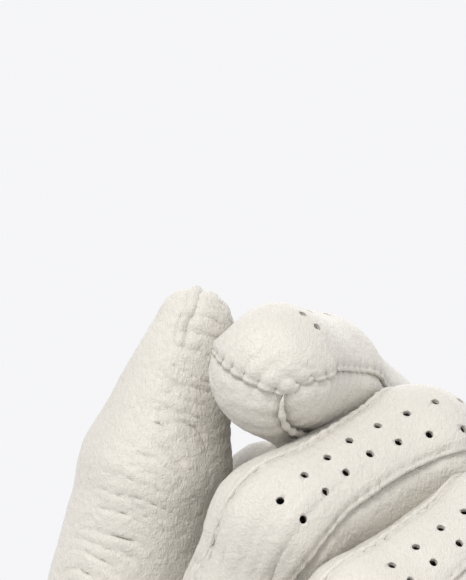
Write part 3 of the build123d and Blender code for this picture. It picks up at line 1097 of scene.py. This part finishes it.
def surface_net(field, low, high, voxel):
    """A quad mesh of the field's zero surface inside a box."""
    axes = [np.arange(l, h + voxel, voxel) for l, h in zip(low, high)]
    grid = np.stack(np.meshgrid(*axes, indexing="ij"), -1)
    shape = np.array(grid.shape[:3])
    values = np.concatenate([
        field(layer.reshape(-1, 3)) for layer in grid
    ]).reshape(shape)
    cells = shape - 1
    total, count = np.zeros((*cells, 3)), np.zeros(cells)
    crossings = []
    for axis in range(3):
        step = np.eye(3, dtype=int)[axis]
        here = values[tuple(slice(0, n - s) for n, s in zip(shape, step))]
        there = values[tuple(slice(s, n) for n, s in zip(shape, step))]
        index = np.argwhere((here < 0) != (there < 0))
        a, b = values[tuple(index.T)], values[tuple((index + step).T)]
        places = index + step * (a / (a - b))[:, None]
        others = [o for o in range(3) if o != axis]
        around = []
        for first, second in ((0, 0), (1, 0), (1, 1), (0, 1)):
            cell = index.copy()
            cell[:, others[0]] -= first
            cell[:, others[1]] -= second
            around.append(cell)
        ok = np.all([np.all((c >= 0) & (c < cells), 1) for c in around], 0)
        for cell in around:
            good = np.all((cell >= 0) & (cell < cells), 1)
            np.add.at(total, tuple(cell[good].T), places[good])
            np.add.at(count, tuple(cell[good].T), 1)
        crossings.append((np.stack(around, 1)[ok], (a < 0)[ok], axis))
    used = np.argwhere(count > 0)
    number = -np.ones(cells, int)
    number[tuple(used.T)] = np.arange(len(used))
    at = tuple(used.T)
    vertices = np.array(low) + total[at] / count[at][:, None] * voxel
    faces = []
    for around, starts_inside, axis in crossings:
        quads = number[tuple(around.transpose(2, 0, 1))]
        flip = starts_inside if axis != 1 else ~starts_inside
        quads[~flip] = quads[~flip][:, ::-1]
        faces.append(quads)
    return vertices, np.concatenate(faces)


def clip(vertices, triangles, values):
    """The triangles where the value is positive, cut along its zero line."""
    keep, cut = [], {}
    vertices, values = list(vertices), list(values)

    def between(a, b):
        key = (min(a, b), max(a, b))
        if key not in cut:
            t = values[key[0]] / (values[key[0]] - values[key[1]])
            cut[key] = len(vertices)
            vertices.append(vertices[key[0]] * (1 - t) + vertices[key[1]] * t)
        return cut[key]

    for triangle in triangles:
        inside = [values[i] > 0 for i in triangle]
        if all(inside):
            keep.append(tuple(triangle))
        elif any(inside):
            polygon = []
            for k in range(3):
                a, b = triangle[k], triangle[(k + 1) % 3]
                if inside[k]:
                    polygon.append(a)
                if inside[k] != inside[(k + 1) % 3]:
                    polygon.append(between(a, b))
            keep += [(polygon[0], polygon[k], polygon[k + 1]) for k in range(1, len(polygon) - 1)]
    used = sorted({i for triangle in keep for i in triangle})
    renumber = {old: new for new, old in enumerate(used)}
    kept = np.array([vertices[i] for i in used])
    return kept, np.array([[renumber[i] for i in triangle] for triangle in keep])


def slit_distance(points):
    """Distance outside the V-shaped opening on the back of the cuff."""
    r, d, b = points.T
    taper = SLIT_HALF_WIDTH - SLIT_END_HALF_WIDTH
    half = SLIT_HALF_WIDTH - taper * np.clip(d / SLIT_LENGTH, 0, 1)
    inside = np.maximum(np.abs(r) - half, d - SLIT_LENGTH)
    return np.where(b > 0, inside, 30)


def hand_relief(points, seed):
    """Folds of the palm and back, and the gathers of the wrist elastic."""
    r, d, b = points.T
    height = noise(points / 13, seed) * 0.55 + noise(points / 5.5, seed + 1) * 0.18
    height += creases(points * (0.5, 0.24, 0.3), seed + 2) * 0.10
    height += creases(points / 2.4, seed + 4) * 0.04
    seam = np.exp(-np.abs(b) / 2.0) * ramp(d, 2, 12)
    height -= seam * (0.35 + 0.16 * np.cos(d / STITCH_PITCH * 2 * pi))
    on_palm = ramp(-b, 4, 9)
    elastic = bump(d, ELASTIC_AT, 3.4) * on_palm
    gathers = r / GATHER_PITCH * 2 * pi
    height -= elastic * (0.7 + 0.45 * np.cos(gathers + noise(points / 6, seed + 6)))
    height += on_palm * bump(d, ELASTIC_AT, 9) * 0.35 * np.cos(gathers)
    bent = d / 9 + 0.8 * noise(points / 20, seed + 8)
    across_palm = creases(np.stack([bent, r / 30], 1), seed + 7)
    return height + across_palm * 0.35 * on_palm * ramp(d, 40, 60)


def build_hand(hand):
    vertices, quads = surface_net(hand.field, *HAND_BOX, HAND_MESH_STEP)
    for _ in range(2):
        vertices = vertices - hand.field(vertices)[:, None] * slopes(hand.field, vertices)
    vertices[vertices[:, 1] < 1.0, 1] = 0.0
    triangles = np.concatenate([quads[:, [0, 1, 2]], quads[:, [0, 2, 3]]])
    palm = clip(vertices, triangles, -vertices[:, 2])
    back = clip(vertices, triangles, vertices[:, 2])
    back = clip(*back, slit_distance(back[0]))
    for name, (points, faces), seed, lift in (
        ("palm_panel", palm, 900, 0.0), ("back_panel", back, 950, LAP),
    ):
        normals = slopes(hand.field, points)
        height = hand_relief(points, seed) + lift
        raised = (points + normals * height[:, None]) @ HAND
        piece = add_mesh(name + "_skin", raised, faces, WHITE_LEATHER)
        thicken(piece)
        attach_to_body(piece, "hand")
        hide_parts(name)


# ---------------------------------------------------------------- closure and cuff
class Patch:
    """A rounded-end piece laid over the hand: rows run from its free end at low r."""

    def __init__(self, hand, radial, distal, height, rounding=0.0, side=1, step=0.6):
        self.rows = int((radial[1] - radial[0]) / step) + 1
        self.columns = int((distal[1] - distal[0]) / step) + 1
        t = np.linspace(0, 1, self.rows)
        r = radial[0] + (radial[1] - radial[0]) * (t if not rounding else t ** 1.25)
        half = np.full(self.rows, (distal[1] - distal[0]) / 2)
        if rounding:
            into = np.clip(rounding - (r - radial[0]), 0, rounding)
            half -= rounding - np.sqrt(np.maximum(rounding ** 2 - into ** 2, 0))
        middle = sum(distal) / 2
        share = np.linspace(-1, 1, self.columns)
        d = middle + half[:, None] * share[None, :]
        r = np.repeat(r[:, None], self.columns, 1)
        self.edge = np.minimum(half[:, None] * (1 - np.abs(share)), r - radial[0])
        self.edge = np.minimum(self.edge, radial[1] - r)
        self.r = r
        flat = np.stack([r.ravel(), d.ravel(), np.zeros(r.size)], 1)
        for _ in range(40):
            flat[:, 2] -= side * hand.field(flat)
        self.normals = slopes(hand.field, flat)
        self.points, self.height, self.side = flat, height, side

    def mesh(self, name, material, relief_height=0.0, thickness=1.0):
        raised = self.points + self.normals * (self.height + np.ravel(relief_height))[:, None]
        faces = grid_faces(self.rows, self.columns)
        if self.side > 0:
            faces = [f[::-1] for f in faces]
        piece = add_mesh(name, raised @ HAND, faces, material)
        thicken(piece, thickness)
        return piece

    def inset_line(self, inset, lift):
        """The closed line on the patch at a distance inside its edge."""
        places, normals = [], []
        grid = self.points.reshape(self.rows, self.columns, 3)
        out = self.normals.reshape(self.rows, self.columns, 3)
        for columns in (range(self.columns // 2), range(self.columns - 1, self.columns // 2, -1)):
            side_places, side_normals = [], []
            for row in range(self.rows):
                edge = self.edge[row, list(columns)]
                if edge.max() < inset or self.r[row, 0] - self.r[0, 0] < inset:
                    continue
                column = list(columns)[int(np.argmax(edge >= inset))]
                side_places.append(grid[row, column])
                side_normals.append(out[row, column])
            places.append(side_places)
            normals.append(side_normals)
        line = np.array(places[0][::-1] + places[1])
        out = np.array(normals[0][::-1] + normals[1])
        return (line + out * (self.height + lift)) @ HAND, out @ HAND


def build_closure(hand):
    """The peel-back tab with its hook patch, the loop patch, underlay and cuff binding."""
    pile = fabric("hook_and_loop", (0.60, 0.59, 0.56), 1500, 1.0)
    tape = fabric("binding_tape", (0.58, 0.562, 0.52), 1100, 0.5)
    lining = fabric("lining", (0.58, 0.57, 0.545), 1700, 0.4)
    elastic = fabric("elastic", (0.61, 0.60, 0.575), 1300, 0.7)
    tab_d = (TAB_LOW, TAB_HIGH)
    patch_d = (TAB_LOW + 3, TAB_HIGH - 3)
    patch_r = (TAB_ULNAR + 3, -SLIT_HALF_WIDTH - 1)

    tab = Patch(hand, (TAB_ULNAR, TAB_RADIAL + 7.5), tab_d, TAB_HEIGHT, rounding=9)
    lean = ramp(tab.r, TAB_RADIAL, TAB_RADIAL + 5) * TAB_DROP
    edge_round = -0.45 * np.exp(-tab.edge / 0.35)
    groove = -0.22 * bump(tab.edge, 2.0, 0.4) - 0.18 * bump(tab.edge, 3.4, 0.5)
    wear = noise(tab.points / 6, 31).reshape(tab.r.shape) * 0.16
    piece = tab.mesh("closure_tab_leather", WHITE_LEATHER, edge_round + groove + wear - lean, 1.0)
    hinge = next(j for j in frame["joints"] if j["child"] == "closure_tab")
    at = np.array(hinge["pos_m"])
    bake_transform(piece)
    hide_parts("closure_tab", "closure_tab_base")
    line, out = tab.inset_line(2.0, 0.12)
    lowered = -np.interp(line @ HAND[0], (TAB_RADIAL, TAB_RADIAL + 5), (0, TAB_DROP))
    threads = stitches_along(line + out * lowered[:, None], out)
    piece = add_mesh("closure_tab_stitches", *threads, THREAD)
    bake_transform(piece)

    for name, height, body in (
        ("hook_patch", HOOK_HEIGHT, "closure_tab"), ("loop_patch", LOOP_HEIGHT, "hand"),
    ):
        patch = Patch(hand, patch_r, patch_d, height, rounding=6, step=0.45)
        rough = noise(patch.points / 0.55, 57).reshape(patch.r.shape) * 0.14
        piece = patch.mesh(name + "_pile", pile, rough - 0.25 * np.exp(-patch.edge / 0.4), 0.7)
        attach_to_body(piece, body)
        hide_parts(name)

    # Extents across and along the hand, height over the skin, side, thickness and looks.
    for name, radial, distal, height, side, thick, material, slot in (
        ("slit_underlay", (-13, 13), (1, SLIT_LENGTH + 6), -0.9, 1, 0.5, WHITE_LEATHER, "lining"),
        ("size_label", (-9, 9), (7, 19), -1.3, -1, 0.25, lining, "lining"),
        ("wrist_elastic", (-26, 26), (24, 30), -1.5, -1, 0.6, elastic, "elastic"),
    ):
        patch = Patch(hand, radial, distal, height, side=side, step=0.8)
        wave = 0.25 * np.cos(patch.r / GATHER_PITCH * 2 * pi) if name == "wrist_elastic" else 0.0
        piece = patch.mesh(name + "_cloth", material, np.zeros(patch.r.shape) + wave, thick)
        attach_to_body(piece, "hand")
        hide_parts(name)
    build_binding(hand, tape)


def build_binding(hand, tape):
    """Tape folded over the cuff's edge, from one side of the slit round to the other."""
    end = radians(90) - BINDING_GAP
    ring = np.linspace(end - 2 * pi + 2 * BINDING_GAP, end, 220)
    direction = np.stack([np.cos(ring), np.zeros(len(ring)), np.sin(ring)], 1)
    places = direction * 15.0 + (0, 0.4, 0)
    for _ in range(40):
        places -= direction * hand.field(places)[:, None]
    normals = slopes(hand.field, places)
    normals[:, 1] = 0
    normals = unit(normals)
    rows = []
    for number, (place, normal) in enumerate(zip(places, normals)):
        wave = 0.12 * sin(number * 0.55) + 0.05 * sin(number * 1.7)
        rows.append([
            place + normal * (x + wave * 0.5) + np.array((0, y + wave, 0))
            for x, y in BINDING_PROFILE
        ])
    vertices = np.array(rows).reshape(-1, 3) @ HAND
    faces = capped_faces(len(rows), len(BINDING_PROFILE))
    piece = add_mesh("cuff_binding_tape", vertices, faces, tape)
    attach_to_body(piece, "hand")
    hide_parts("cuff_binding")
    line = places + normals * 1.55 + (0, 3.0, 0)
    piece = add_mesh("cuff_stitches", *stitches_along(line @ HAND, normals @ HAND), THREAD)
    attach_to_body(piece, "hand")


set_camera()
set_light()
add_floor()
chains = {name: finger_chain(**spec) for name, spec in FINGERS.items()}
chains["thumb"] = thumb_chain()
for number, (name, chain) in enumerate(chains.items()):
    build_stall(name, Stall(name, chain), seed=100 * number)
hand = Hand(chains)
build_hand(hand)
build_closure(hand)
